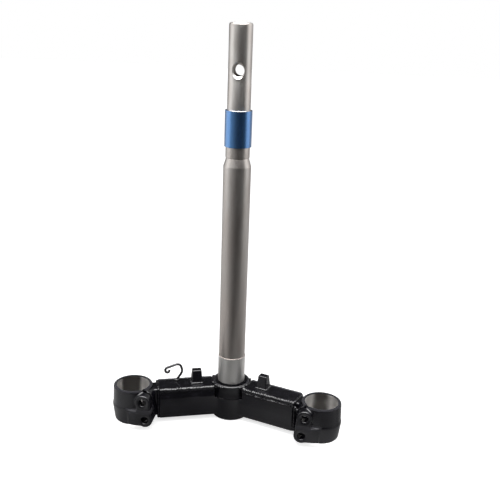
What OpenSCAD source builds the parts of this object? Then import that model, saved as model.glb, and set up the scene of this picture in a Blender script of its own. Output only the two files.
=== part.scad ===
// Lower fork bridge of a light motorcycle, welded to its steering stem.
// The origin is on the stem axis, level with the tops of the two fork clamps.
// +Z runs up the stem and -Y is the front of the machine. Left and right are the
// rider's, so the left clamp is at +X.

/* [Steering stem] */
// Diameter of the main tube
stem_d = 30; // [28:0.5:32]
// Wall of the main tube
stem_wall = 3; // [2:0.25:4]
// Diameter of the ground seat for the lower bearing
seat_d = 31; // [30.5:0.5:32]
// Top of the seat above the clamp tops
seat_top = 30; // [20:1:40]
// Top of the main tube above the clamp tops
main_top = 251; // [200:1:270]
// Length of the cone from the main tube to the thread
flare_len = 9; // [5:1:12]
// Diameter over the thread for the bearing nuts
thread_d = 26; // [25:0.5:27.5]
// Length of the threaded stretch
thread_len = 50; // [50:1:56]
// Diameter of the post that the handlebar clamps on
post_d = 24.6; // [22:0.2:24.6]
// Diameter of the slightly thicker band of the post, below its cross hole
band_d = 24.8; // [24.8:0.1:25.4]
// Top of that band below the middle of the cross hole
band_drop = 13; // [11:0.5:18]
// Wall of the post and of the threaded stretch
post_wall = 3.2; // [2:0.2:4]
// Top of the post above the clamp tops
post_top = 398; // [370:1:420]
// Rounding of the post's top edge
post_round = 2.5; // [1:0.25:3]

/* [Handlebar bolt hole] */
// Height of the cross hole above the clamp tops
cross_z = 351; // [335:1:360]
// Diameter of the cross hole
cross_d = 12; // [8:0.5:14]
// Widest diameter of its countersinks
sink_d = 17.5; // [14:0.5:18]

/* [Thread sleeve] */
// Outer diameter of the plastic sleeve
sleeve_d = 29; // [28:0.5:32]
// Length of the sleeve
sleeve_len = 38; // [20:1:44]
// Bottom of the sleeve above the start of the thread
sleeve_lift = 12; // [5:1:14]
// Clearance between the sleeve and the thread
sleeve_gap = 0.15; // [0.05:0.05:0.3]

/* [Head boss] */
// Outer diameter of the boss's upper part
boss_d = 43; // [41:0.5:46]
// Outer diameter of its lower part, inside the shell
boss_low_d = 36.6; // [34:0.2:37]
// Top of the boss below the clamp tops
boss_drop = 2.5; // [1:0.25:3.5]
// Bottom of the boss below the clamp tops
boss_bottom_drop = 45.5; // [44:0.5:50]
// Shoulder that rests on the shell, below the clamp tops
shoulder_drop = 18; // [14:1:24]
// Diameter of the seal recess around the stem
recess_d = 37.4; // [34:0.2:39]
// Depth of the seal recess
recess_depth = 3; // [2:0.25:6]
// Clearance between pieces that are pressed or slid together
seat_gap = 0.05; // [0.02:0.01:0.1]

/* [Arms] */
// Width of the arms
arm_w = 26; // [24:0.5:30]
// Sheet thickness of the pressed shell
shell_wall = 3.2; // [2.5:0.1:4]
// Thickness of the cover plates
cover_t = 3.2; // [2.5:0.1:4]
// Top of the cover plates below the clamp tops
cover_drop = 4; // [3.5:0.25:6]
// Underside of the arms below the clamp tops
floor_drop = 41.5; // [39:0.5:43]
// How far the walls bulge at the pressed crease
arm_belly = 0.7; // [0:0.1:1.5]
// Rounding of the lower edges
arm_round = 3.5; // [1:0.5:5]
// Ledge beside each cover plate that carries the seam
seam_ledge = 2; // [1:0.25:3]
// Radius of the blend between the boss bulge and the arm walls
bulge_blend = 12; // [4:1:18]
// Width of the notch between the arm walls and the boss
notch_w = 3; // [1:0.25:4]

/* [Fork clamps] */
// Distance between the two fork axes
fork_spacing = 215; // [205:1:225]
// Distance of the fork axes in front of the stem axis
fork_offset = 37; // [32:0.5:40]
// Diameter of the fork bores
fork_d = 37; // [35:0.5:39]
// Height of the clamps
clamp_h = 42; // [40:0.5:46]
// Wall of the clamp at its top rim
rim_wall = 3.6; // [3:0.1:4.5]
// Wall just above the die line
line_wall = 4.2; // [3:0.1:5]
// Wall just below the die line
belly_wall = 5; // [4.2:0.1:6]
// Wall at the foot
foot_wall = 2.6; // [2:0.1:3.5]
// Depth of the die line below the clamp tops
line_drop = 20.5; // [17:0.5:24]
// Width of the neck between clamp and arm
neck_w = 19; // [15:0.5:19]
// Free length of the neck, from the clamp's wall to the arm's end
neck_len = 5.2; // [3:0.1:9]
// Length of the stub inside the arm
stub_len = 12; // [6:1:20]

/* [Pinch ears] */
// Upper pinch bolt, from the fork axis towards the stem
bolt_inset = 17; // [16:0.25:19]
// Lower pinch bolt, further towards the stem
bolt_slant = 2.5; // [0:0.25:4]
// Upper pinch bolt below the clamp tops
bolt_drop = 10.7; // [9:0.1:12]
// Distance down to the lower pinch bolt
bolt_pitch = 21.5; // [19:0.5:24]
// Diameter of the holes in the front ears
bolt_d = 8.4; // [6.6:0.1:9]
// Diameter of the tapped holes in the rear ears, at the thread's core
tap_d = 6.8; // [5:0.1:7]
// Radius of the ears around the bolts
ear_r = 8.7; // [7:0.1:9.5]
// How much the ears narrow between the two bolts, on each side
ear_waist = 0.7; // [0.2:0.1:1.5]
// Front face of the ears in front of the fork axis
ear_reach = 25; // [24:0.5:28]
// Thickness of the front ear
ear_t = 10; // [8:0.5:11]
// Depth of both ears with the slit
ear_depth = 24; // [22:0.5:26]
// Width of the clamp's slit
slit_w = 2.5; // [1.5:0.25:4]
// Depth of the spot face around each front hole
spot_depth = 0.6; // [0.2:0.1:1]
// Diameter of the spot face
spot_d = 12.4; // [10:0.2:14]

/* [Stop lugs] */
// Inner end of each lug, from the stem axis along the arm
lug_start = 34; // [32:0.5:38]
// Length of the lug along the arm, at its base
lug_len = 12.5; // [8:0.5:15]
// Width of the lug across the arm, at its base
lug_w = 13; // [8:0.5:13.5]
// Height of the lug above the cover plate
lug_h = 15; // [8:0.5:20]
// Rear edge of the lug in front of the cover plate's rear edge
lug_edge = 0.9; // [0.8:0.1:2]

/* [Cable hook] */
// Wire diameter
wire_d = 2.7; // [1.8:0.1:3]
// Foot of the wire, as a share of the way from the lug to the arm's outer end
hook_place_share = 0.4414; // [0.35:0.0001:0.6]
// Foot of the wire in front of the cover plate's rear edge
hook_edge = 3.5; // [3.4:0.1:6]

/* [Hidden] */
$fn = 96;

LEFT = 1;
RIGHT = -1;
FRONT = -1;
REAR = 1;

// One overrun serves all cuts.
over = 2;

// Stem
thread_bottom = main_top + flare_len;
thread_top = thread_bottom + thread_len;
thread_round = 0.6;
seat_chamfer = 0.5;
bore_taper = 3;
band_taper = 0.5;

// Boss and shell
boss_r = boss_d / 2;
boss_edge = 0.6;
cover_top = -cover_drop;
cover_under = cover_top - cover_t;
floor_under = -floor_drop;
floor_top = floor_under + shell_wall;
belly_share = 0.46;
blend_bite = 0.3;
// The bulge's outline starts under the right arm.
bulge_turn = 200;
fork_x = fork_spacing / 2;
arm_angle = atan2(fork_offset, fork_x);
fork_reach = norm([fork_x, fork_offset]);
arm_len = fork_reach - fork_d / 2 - belly_wall - neck_len;
plate_half = arm_w / 2 - seam_ledge;
lug_back = plate_half - lug_edge - lug_w / 2;
lug_end = lug_start + lug_len;
hook_foot = lug_end + (arm_len - lug_end) * hook_place_share;
hook_back = plate_half - hook_edge;

// Welds
seam_r = 2.2;
seam_out = 1.1;
seam_sink = 1.2;
boss_weld_r = 2.2;
clamp_weld_r = 2.4;
bead_toe = 0.3;
lug_weld_r = 1.6;
hook_weld_r = 2.6;
seam_end_gap = 1;

// Clamps
fork_r = fork_d / 2;
rim_edge = 0.8;
mouth_edge = 0.5;
die_step = 1.2;
foot_round = 2;
neck_sink = 1;
neck_top = cover_top - neck_sink;
neck_bottom = floor_top;
neck_half = neck_w / 2;
bolt_top = [fork_x - bolt_inset, -bolt_drop];
bolt_low = [bolt_top.x - bolt_slant, bolt_top.y - bolt_pitch];
ear_front = -fork_offset - ear_reach;
slit_front = ear_front + ear_t;
slit_back = slit_front + slit_w;
ear_back = ear_front + ear_depth;

// Lug sides lean in towards the top by these shares of the base
lug_top_len_share = 0.84;
lug_top_w_share = 0.6;

// The wire's foot leans towards the stem; each row is a straight, a bend radius and a bend angle.
hook_lean = 35;
bend_step = 16;
wire_sides = 12;
hook_runs = [[8.5, 9, 55], [3.2, 3.2, 88], [12.2, 3.3, 172], [1, 0, 0]];

STEEL = "#a09a94";
BLACK = "#1b1b1f";
BLUE = "#2f6fb0";

// Points of an arc round a centre, from one angle to another
function arc(centre, r, from, to, steps = 10) =
    [for (i = [0:steps]) let (turn = from + (to - from) * i / steps) centre + r * [cos(turn), sin(turn)]];

// Draws a left-hand piece, and its mirror image on the right
module on_side(side) {
    mirror([side == RIGHT ? 1 : 0, 0, 0]) children();
}

// Axes of an arm: x runs out along it and y to the rear
module along_arm(side) {
    on_side(side) rotate(-arm_angle) children();
}

// Draws at the fork axis
module at_fork(side) {
    on_side(side) translate([fork_x, -fork_offset, 0]) children();
}

// Stretches an outline of y and z out along x
module stretch_x(from, to) {
    translate([from, 0, 0]) rotate([90, 0, 90]) linear_extrude(to - from) children();
}

// Stretches an outline of x and z back along y
module stretch_y(from, to) {
    translate([0, to, 0]) rotate([90, 0, 0]) linear_extrude(to - from) children();
}

module steering_stem() {
    color(STEEL) difference() {
        rotate_extrude() stem_section();
        for (turn = [0, 180]) rotate(turn) cross_hole();
    }
}

// Half section of the swaged tube, from the boss up to the handlebar post
module stem_section() {
    bottom = -boss_bottom_drop;
    seat_bottom = -boss_drop - recess_depth;
    main_bore = stem_d / 2 - stem_wall;
    post_bore = post_d / 2 - post_wall;
    bore_top = thread_bottom + bore_taper;
    polygon(concat(
        [[main_bore, bottom], [stem_d / 2, bottom], [stem_d / 2, seat_bottom], [seat_d / 2, seat_bottom],
         [seat_d / 2, seat_top - seat_chamfer], [stem_d / 2, seat_top], [stem_d / 2, main_top],
         [thread_d / 2 - thread_round, thread_bottom - thread_round],
         [thread_d / 2 - thread_round, thread_bottom], [thread_d / 2, thread_bottom + thread_round],
         [thread_d / 2, thread_top - thread_round], [band_d / 2, thread_top],
         [band_d / 2, cross_z - band_drop - band_taper], [post_d / 2, cross_z - band_drop]],
        arc([post_d / 2 - post_round, post_top - post_round], post_round, 0, 90),
        [[post_bore, post_top], [post_bore, bore_top], [main_bore, main_top - bore_taper]]));
}

// One wall's share of the hole for the handlebar bolt, drilled and countersunk from the front
module cross_hole() {
    sink_depth = (sink_d - cross_d) / 2;
    translate([0, 0, cross_z]) rotate([90, 0, 0]) {
        cylinder(d = cross_d, h = post_d / 2 + over);
        translate([0, 0, post_d / 2 - sink_depth])
            cylinder(d1 = cross_d, d2 = sink_d + 2 * over, h = sink_depth + over);
    }
}

module thread_sleeve() {
    bore_r = thread_d / 2 + sleeve_gap;
    color(BLUE) translate([0, 0, thread_bottom + sleeve_lift]) rotate_extrude()
        translate([bore_r, 0]) square([sleeve_d / 2 - bore_r, sleeve_len]);
}

// Turned boss: a broad upper part with a seal recess, on a lower part that passes down the shell
module head_boss() {
    top = -boss_drop;
    stem_bore = stem_d / 2 + seat_gap;
    color(BLACK) rotate_extrude() polygon([
        [stem_bore, -boss_bottom_drop], [boss_low_d / 2, -boss_bottom_drop], [boss_low_d / 2, -shoulder_drop],
        [boss_r, -shoulder_drop], [boss_r, top - boss_edge], [boss_r - boss_edge, top],
        [recess_d / 2 + boss_edge, top], [recess_d / 2, top - boss_edge],
        [recess_d / 2, top - recess_depth], [stem_bore, top - recess_depth]]);
}

// One pressing: two arms in a V, open on top, that bulge round the boss below its shoulder
module arm_shell() {
    color(BLACK) difference() {
        union() {
            difference() {
                for (side = [LEFT, RIGHT]) along_arm(side) {
                    stretch_x(0, arm_len) arm_outline();
                    for (face = [FRONT, REAR]) bulge_fillet(face);
                }
                for (side = [LEFT, RIGHT]) along_arm(side) stretch_x(0, arm_len + over) arm_cavity();
                translate([0, 0, -shoulder_drop]) cylinder(r = boss_r + notch_w, h = shoulder_drop);
            }
            translate([0, 0, -boss_bottom_drop]) rotate(bulge_turn)
                cylinder(r = boss_r, h = boss_bottom_drop - shoulder_drop);
        }
        translate([0, 0, -boss_bottom_drop - over])
            cylinder(r = boss_low_d / 2 + seat_gap, h = boss_bottom_drop + over);
    }
}

// Outer section of an arm, with a pressed crease along each wall and rounded lower edges
module arm_outline() {
    half = arm_w / 2;
    crease = cover_under + (floor_under - cover_under) * belly_share;
    corner = [half - arm_round, floor_under + arm_round];
    polygon(concat(
        [[-half, cover_under], [-half - arm_belly, crease]],
        arc([-corner.x, corner.y], arm_round, 180, 270, 6),
        arc(corner, arm_round, 270, 360, 6),
        [[half + arm_belly, crease], [half, cover_under]]));
}

module arm_cavity() {
    half = arm_w / 2 - shell_wall;
    translate([-half, floor_top]) square([2 * half, cover_under - floor_top + over]);
}

// Concave blend between the bulge and one wall of an arm, below the boss's shoulder
module bulge_fillet(face) {
    half = arm_w / 2;
    reach = sqrt(pow(boss_r + bulge_blend, 2) - pow(half + bulge_blend, 2));
    centre = [reach, face * (half + bulge_blend)];
    translate([0, 0, floor_under + arm_round])
        linear_extrude(-shoulder_drop - floor_under - arm_round) difference() {
            polygon([[0, 0], [reach, 0], centre]);
            translate(centre) circle(r = bulge_blend + blend_bite);
        }
}

// Flat plate on top of one arm, with its inner end scooped to meet the boss
module cover_plate(side) {
    color(BLACK) difference() {
        along_arm(side) translate([0, -plate_half, cover_under]) cube([arm_len, 2 * plate_half, cover_t]);
        translate([0, 0, cover_under - over]) cylinder(r = boss_r + seat_gap, h = cover_t + 2 * over);
    }
}

// Forged split clamp with a stub that the arm is welded to
module fork_clamp(side) {
    color(BLACK) difference() {
        union() {
            at_fork(side) rotate_extrude() clamp_section();
            clamp_neck(side);
            on_side(side) {
                stretch_y(ear_front, ear_back) ear_outline();
                front_band();
            }
        }
        at_fork(side) fork_bore();
        on_side(side) {
            translate([0, slit_front, -clamp_h - 2 * over]) cube([fork_x, slit_w, clamp_h + 4 * over]);
            for (bolt = [bolt_top, bolt_low]) pinch_hole(bolt);
        }
    }
}

// Half section of the clamp's body, drafted both ways from the die line
module clamp_section() {
    foot_r = fork_r + foot_wall;
    polygon(concat(
        [[0, -clamp_h]],
        arc([foot_r - foot_round, foot_round - clamp_h], foot_round, 270, 350, 6),
        [[fork_r + belly_wall, -line_drop - die_step], [fork_r + line_wall, -line_drop],
         [fork_r + rim_wall, -rim_edge], [fork_r + rim_wall - rim_edge, 0], [0, 0]]));
}

// Neck from the clamp to the arm's end, and the stub inside the arm
module clamp_neck(side) {
    stub_half = min(neck_half, arm_w / 2 - shell_wall - seat_gap);
    along_arm(side) {
        translate([arm_len, -neck_half, neck_bottom])
            cube([fork_reach - arm_len, neck_w, neck_top - neck_bottom]);
        translate([arm_len - stub_len, -stub_half, floor_top + seat_gap])
            cube([stub_len + seat_gap, 2 * stub_half, cover_under - floor_top - 2 * seat_gap]);
    }
}

// Outline of the two ears, seen from the front
module ear_outline() {
    turn = atan2(bolt_top.y - bolt_low.y, bolt_top.x - bolt_low.x);
    for (bolt = [bolt_top, bolt_low]) translate(bolt) circle(r = ear_r);
    half = ear_r - ear_waist;
    translate(bolt_low) rotate(turn) translate([0, -half]) square([norm(bolt_top - bolt_low), 2 * half]);
}

// Below the die line the front ear runs on into the front of the clamp
module front_band() {
    belly_r = fork_r + belly_wall;
    ear_side = bolt_top.x + ear_r;
    translate([0, 0, -clamp_h + foot_round]) linear_extrude(clamp_h - foot_round - line_drop - die_step)
        polygon([[bolt_low.x, slit_front], [bolt_low.x, ear_front], [ear_side, ear_front],
                 [fork_x, -fork_offset - belly_r], [fork_x, slit_front]]);
}

module fork_bore() {
    translate([0, 0, -clamp_h - over]) cylinder(r = fork_r, h = clamp_h + 2 * over);
    translate([0, 0, -mouth_edge])
        cylinder(r1 = fork_r, r2 = fork_r + mouth_edge + over, h = mouth_edge + over);
}

// Clearance hole and spot face in the front ear, and the blind tapped hole in the rear ear
module pinch_hole(bolt) {
    stretch_y(ear_front - over, slit_back - over / 2) translate(bolt) circle(d = bolt_d);
    stretch_y(ear_front - over, ear_front + spot_depth) translate(bolt) circle(d = spot_d);
    stretch_y(slit_front, ear_back) translate(bolt) circle(d = tap_d);
}

// Block that stops the steering at full lock, with all four sides leaning in
module stop_lug(side) {
    top_len = lug_len * lug_top_len_share;
    top_w = lug_w * lug_top_w_share;
    color(BLACK) along_arm(side) translate([lug_start + lug_len / 2, lug_back, cover_top]) intersection() {
        stretch_y(-lug_w / 2, lug_w / 2) taper(lug_len, top_len);
        stretch_x(-lug_len / 2, lug_len / 2) taper(lug_w, top_w);
    }
}

// Trapezium as tall as a lug
module taper(base, top) {
    polygon([[-base / 2, 0], [base / 2, 0], [top / 2, lug_h], [-top / 2, lug_h]]);
}

// Bent wire guide on the rider's right arm, bent in one upright plane along the arm
module cable_hook() {
    color(BLACK) at_hook() rotate([90, 0, 0]) rotate(90 + hook_lean) bent_wire();
}

// Foot of the wire, where its lowest edge meets the cover plate
module at_hook() {
    along_arm(RIGHT) translate([hook_foot, hook_back, cover_top + wire_d / 2 * sin(hook_lean)]) children();
}

function heading(angle) = [cos(angle), sin(angle)];

// Place and heading at the start of each run of the wire
function run_state(i) = i == 0 ? [[0, 0], 0] : run_end(run_state(i - 1), hook_runs[i - 1]);
function run_end(state, run) =
    let (centre = state[0] + run[0] * heading(state[1]) + run[1] * heading(state[1] - 90),
         turned = state[1] - run[2])
    [centre - run[1] * heading(turned - 90), turned];

// Places and headings along one run: its start, the end of its straight, and points round its bend
function run_stations(i) =
    let (state = run_state(i), run = hook_runs[i], bend_start = state[0] + run[0] * heading(state[1]),
         centre = bend_start + run[1] * heading(state[1] - 90), steps = ceil(run[2] / bend_step))
    concat(i == 0 ? [state] : [], [[bend_start, state[1]]],
           [for (k = [1:1:steps]) let (turned = state[1] - run[2] * k / steps)
               [centre - run[1] * heading(turned - 90), turned]]);

// The wire's section swept along its stations
module bent_wire() {
    stations = [for (i = [0:len(hook_runs) - 1]) each run_stations(i)];
    rings = len(stations);
    sweep_points = [for (station = stations) for (k = [0:wire_sides - 1])
        let (turn = 360 * k / wire_sides,
             across = station[0] + wire_d / 2 * cos(turn) * heading(station[1] + 90))
        [across.x, across.y, wire_d / 2 * sin(turn)]];
    polyhedron(sweep_points, concat(
        [[for (k = [0:wire_sides - 1]) k]],
        [for (ring = [0:rings - 2]) for (k = [0:wire_sides - 1])
            let (next = (k + 1) % wire_sides, low = ring * wire_sides, high = low + wire_sides)
            [low + next, low + k, high + k, high + next]],
        [[for (k = [wire_sides - 1:-1:0]) (rings - 1) * wire_sides + k]]));
}

// Bead along one edge of a cover plate, on the ledge beside it and a little over the plate
module seam_weld(side, face) {
    start = sqrt(pow(boss_r + boss_weld_r + seam_end_gap / 2, 2) - pow(plate_half - seam_out, 2));
    color(BLACK) along_arm(side) stretch_x(start, arm_len - seam_end_gap) difference() {
        translate([face * (plate_half + seam_out), cover_top - seam_sink]) circle(r = seam_r, $fn = 32);
        translate([-plate_half, cover_under]) square([2 * plate_half, cover_t]);
        translate([-arm_w, cover_under - cover_t]) square([2 * arm_w, cover_t]);
    }
}

// Bead round the boss where it meets a cover plate
module boss_weld(side) {
    half = arm_w / 2;
    color(BLACK) difference() {
        intersection() {
            translate([0, 0, cover_top]) rotate_extrude()
                translate([boss_r, 0]) circle(r = boss_weld_r, $fn = 32);
            along_arm(side) translate([0, -half, cover_top]) cube([arm_len, arm_w, boss_weld_r]);
        }
        translate([0, 0, cover_top]) cylinder(r = boss_r, h = cover_drop);
    }
}

// Bead round the neck of a clamp where it enters the arm
module clamp_weld(side) {
    neck_h = neck_top - neck_bottom;
    tall = neck_h / 2 + clamp_weld_r;
    wide = neck_half + clamp_weld_r;
    color(BLACK) difference() {
        along_arm(side) translate([arm_len, 0, neck_bottom + neck_h / 2]) difference() {
            intersection() {
                stretch_y(-wide, wide) bead_skirt(neck_h / 2);
                translate([0, 0, -tall]) linear_extrude(2 * tall) bead_skirt(neck_half);
            }
            translate([-over, -neck_half, -neck_h / 2]) cube([clamp_weld_r + 2 * over, neck_w, neck_h]);
        }
        on_side(side) translate([bolt_low.x - ear_r - seat_gap, ear_front, -clamp_h - over])
            cube([ear_depth, ear_depth + seat_gap, clamp_h + over]);
    }
}

// Outline of the bead's slope, from the arm's end down to a neck of this half size
module bead_skirt(half) {
    polygon([[0, -half - clamp_weld_r], [clamp_weld_r, -half - bead_toe],
             [clamp_weld_r, half + bead_toe], [0, half + clamp_weld_r]]);
}

// Bead along the front and the outer side of a stop lug
module lug_weld(side) {
    front = lug_back - lug_w / 2;
    outer = lug_start + lug_len;
    color(BLACK) difference() {
        along_arm(side) {
            translate([lug_start, front, cover_top]) rotate([0, 90, 0])
                cylinder(r = lug_weld_r, h = lug_len, $fn = 24);
            translate([outer, front, cover_top]) rotate([-90, 0, 0])
                cylinder(r = lug_weld_r, h = lug_w, $fn = 24);
            translate([outer, front, cover_top]) sphere(r = lug_weld_r, $fn = 24);
        }
        stop_lug(side);
        cover_plate(side);
    }
}

// Blob at the foot of the cable hook
module hook_weld() {
    color(BLACK) difference() {
        at_hook() sphere(r = hook_weld_r, $fn = 32);
        at_hook() rotate([0, -hook_lean, 0]) translate([0, 0, -wire_d])
            cylinder(d = wire_d + seat_gap, h = 4 * wire_d);
        along_arm(RIGHT) translate([0, -arm_w / 2, cover_under]) cube([arm_len, arm_w, cover_t]);
    }
}

steering_stem();
thread_sleeve();
head_boss();
arm_shell();
cover_plate(LEFT);  // cover_plate_left
cover_plate(RIGHT);  // cover_plate_right
fork_clamp(LEFT);  // fork_clamp_left
fork_clamp(RIGHT);  // fork_clamp_right
stop_lug(LEFT);  // stop_lug_left
stop_lug(RIGHT);  // stop_lug_right
cable_hook();
seam_weld(LEFT, FRONT);  // front_seam_weld_left
seam_weld(RIGHT, FRONT);  // front_seam_weld_right
seam_weld(LEFT, REAR);  // rear_seam_weld_left
seam_weld(RIGHT, REAR);  // rear_seam_weld_right
boss_weld(LEFT);  // boss_weld_left
boss_weld(RIGHT);  // boss_weld_right
clamp_weld(LEFT);  // clamp_weld_left
clamp_weld(RIGHT);  // clamp_weld_right
lug_weld(LEFT);  // lug_weld_left
lug_weld(RIGHT);  // lug_weld_right
hook_weld();
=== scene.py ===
# %% [markdown]
# # The lower fork bridge of a light motorcycle
# The real thing is a swaged steel tube pressed into a turned boss, a V of two arms pressed from
# sheet, and a forged clamp welded to the end of each arm. The whole bridge is dipped in gloss
# black paint, and the tube is left bare. The solids come packed from the drawing, so this lesson
# only dresses them: softer forged edges, a real thread, rippled weld beads and the finishes.

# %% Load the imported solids
import math
import bmesh
import bpy
import numpy as np
from mathutils import Matrix, Vector


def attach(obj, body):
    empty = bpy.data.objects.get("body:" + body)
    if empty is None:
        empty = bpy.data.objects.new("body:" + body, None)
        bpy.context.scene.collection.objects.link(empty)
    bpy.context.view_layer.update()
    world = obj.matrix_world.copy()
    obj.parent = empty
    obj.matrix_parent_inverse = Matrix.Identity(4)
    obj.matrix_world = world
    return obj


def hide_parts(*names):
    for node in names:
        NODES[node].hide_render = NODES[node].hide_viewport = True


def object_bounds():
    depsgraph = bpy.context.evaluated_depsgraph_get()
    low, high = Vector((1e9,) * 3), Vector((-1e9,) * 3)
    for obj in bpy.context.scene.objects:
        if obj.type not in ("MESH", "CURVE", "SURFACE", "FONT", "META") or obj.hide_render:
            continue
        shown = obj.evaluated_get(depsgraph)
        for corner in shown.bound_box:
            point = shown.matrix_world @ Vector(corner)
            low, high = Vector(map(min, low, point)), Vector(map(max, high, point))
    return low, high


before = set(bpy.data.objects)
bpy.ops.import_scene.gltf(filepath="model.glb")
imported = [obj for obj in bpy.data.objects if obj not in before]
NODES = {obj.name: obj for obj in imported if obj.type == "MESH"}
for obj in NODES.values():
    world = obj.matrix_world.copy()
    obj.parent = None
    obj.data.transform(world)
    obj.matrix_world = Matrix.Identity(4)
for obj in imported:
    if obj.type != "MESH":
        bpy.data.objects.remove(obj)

CAD_BOX = [list(corner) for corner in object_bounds()]
MM = 0.001
SIDES = {"left": 1, "right": -1}
BOLD_EDGE, SOFT_EDGE, TURNED_EDGE, THREAD_EDGE = (math.radians(a) for a in (50, 42, 35, 32))
print("nodes", len(NODES), "box", [[round(v, 4) for v in corner] for corner in CAD_BOX])

# %% [markdown]
# ## The camera
# A camera was fitted to the photograph: the tube's two edges, both fork bores and the cross hole
# fix where it stood and how long its lens was. Three angles turn it, and three distances move it.

# %% Place the camera
FOCAL_PX = 737.94
IMAGE_PX = 500
SENSOR_MM = 36
# Angles in degrees, then distances in millimetres
AZIMUTH, ELEVATION, ROLL = (math.radians(a) for a in (7.019, 17.489, 2.013))
SHIFT_RIGHT, SHIFT_UP, DISTANCE = -22.100, -148.947, 866.290

back = Vector((math.sin(AZIMUTH) * math.cos(ELEVATION),
               -math.cos(AZIMUTH) * math.cos(ELEVATION), math.sin(ELEVATION)))
level = Vector((0, 0, 1)).cross(back).normalized()
upright = back.cross(level)
right = math.cos(ROLL) * level + math.sin(ROLL) * upright
up = math.cos(ROLL) * upright - math.sin(ROLL) * level
camera = bpy.data.objects.new("camera", bpy.data.cameras.new("camera"))
camera.data.sensor_width = SENSOR_MM
camera.data.lens = FOCAL_PX / IMAGE_PX * SENSOR_MM
place = Matrix((right, up, back)).transposed().to_4x4()
place.translation = (back * DISTANCE - right * SHIFT_RIGHT - up * SHIFT_UP) * MM
camera.matrix_world = place
bpy.context.scene.collection.objects.link(camera)
bpy.context.scene.camera = camera
print("camera at", [round(v, 3) for v in place.translation], "lens", round(camera.data.lens, 2))

# %% [markdown]
# ## Shader maths in plain expressions
# A material is a net of nodes. Wiring each Math node by hand hides what it works out, so one
# small class wraps a socket and gives it Python's operators. `1 - mask * 0.5` then reads as it
# is meant, and adds the Math nodes itself.

# %% A socket with operators, and a finish that adds nodes
class Wire:
    """An output socket that can be added, multiplied and so on."""

    def __init__(self, finish, socket):
        self.finish, self.socket = finish, socket

    def maths(self, operation, first, second):
        return self.finish.add("ShaderNodeMath", {"operation": operation}, {0: first, 1: second})

    def __add__(self, other): return self.maths("ADD", self, other)
    def __radd__(self, other): return self.maths("ADD", other, self)
    def __sub__(self, other): return self.maths("SUBTRACT", self, other)
    def __rsub__(self, other): return self.maths("SUBTRACT", other, self)
    def __mul__(self, other): return self.maths("MULTIPLY", self, other)
    def __truediv__(self, other): return self.maths("DIVIDE", self, other)
    def __pow__(self, other): return self.maths("POWER", self, other)


class Finish:
    """A material or a sky, and the one method that adds any node to it."""

    def __init__(self, name, family=bpy.data.materials):
        self.material = family.new(name)
        self.material.use_nodes = True
        self.tree = self.material.node_tree
        self.tree.nodes.clear()

    def add(self, kind, settings=None, inputs=None, output=0):
        node = self.tree.nodes.new(kind)
        for key, value in (settings or {}).items():
            setattr(node, key, value)
        for key, value in (inputs or {}).items():
            self.feed(node.inputs[key], value)
        return Wire(self, node.outputs[output]) if len(node.outputs) else node

    def feed(self, socket, value):
        if isinstance(value, Wire):
            self.tree.links.new(value.socket, socket)
        else:
            socket.default_value = value

    def mix(self, factor, first, second):
        """A colour between two others."""
        return self.add("ShaderNodeMix", {"data_type": "RGBA"}, {0: factor, 6: first, 7: second}, 2)

    def ramp(self, value, low, high):
        """0 below low and 1 above high, with a soft step between."""
        return self.add("ShaderNodeMapRange", {"interpolation_type": "SMOOTHSTEP"},
                        {0: value, 1: low, 2: high, 3: 0.0, 4: 1.0})

    def place(self, stretch=(1, 1, 1)):
        """The place on the object in metres, stretched."""
        raw = self.add("ShaderNodeTexCoord", output=3)
        return self.add("ShaderNodeMapping", inputs={0: raw, 3: stretch})

    def noise(self, scale, stretch=(1, 1, 1), detail=3.0, rough=0.5):
        return self.add("ShaderNodeTexNoise", inputs={
            "Vector": self.place(stretch), "Scale": scale, "Detail": detail, "Roughness": rough})

    def axes(self):
        """The three coordinates on the object, in metres."""
        raw = self.add("ShaderNodeSeparateXYZ", inputs={0: self.place()})
        return [Wire(self, s) for s in raw.socket.node.outputs]

    def relief(self, height, reach):
        """A normal that rises and falls with a height from 0 to 1, over this many metres."""
        return self.add("ShaderNodeBump", inputs={"Height": height, "Distance": reach, "Strength": 1.0})

    def surface(self, **inputs):
        """Ends the net in a Principled shader, whose sockets are named with _ for a space."""
        named = {key.replace("_", " "): value for key, value in inputs.items()}
        shader = self.add("ShaderNodeBsdfPrincipled", inputs=named)
        self.add("ShaderNodeOutputMaterial", inputs={"Surface": shader})
        print("finish", self.material.name, len(self.tree.nodes), "nodes")
        return self.material


# %% [markdown]
# ## Bare steel of the stem
# The tube is drawn and swaged steel that has only been oiled. Along its length it carries fine
# draw lines, round it the finger and tool marks of handling, and a brown tone that deepens and
# darkens downwards. The bearing seat at the foot is ground, so it is cleaner and greyer. Old
# oil dulls the seat's upper edge, and the seat's foot, just above the boss, is black.

# %% Mix the stem's steel
SEAT_TOP = 30 * MM
TONE_LOW, TONE_HIGH = 20 * MM, 330 * MM
BLACK = (0.0040, 0.0038, 0.0062, 1)
RED_BROWN, GREY = (0.475, 0.435, 0.408, 1), (0.58, 0.565, 0.545, 1)
SEAT_GREY, DARK_BROWN = (0.68, 0.67, 0.65, 1), (0.24, 0.20, 0.18, 1)


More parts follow.
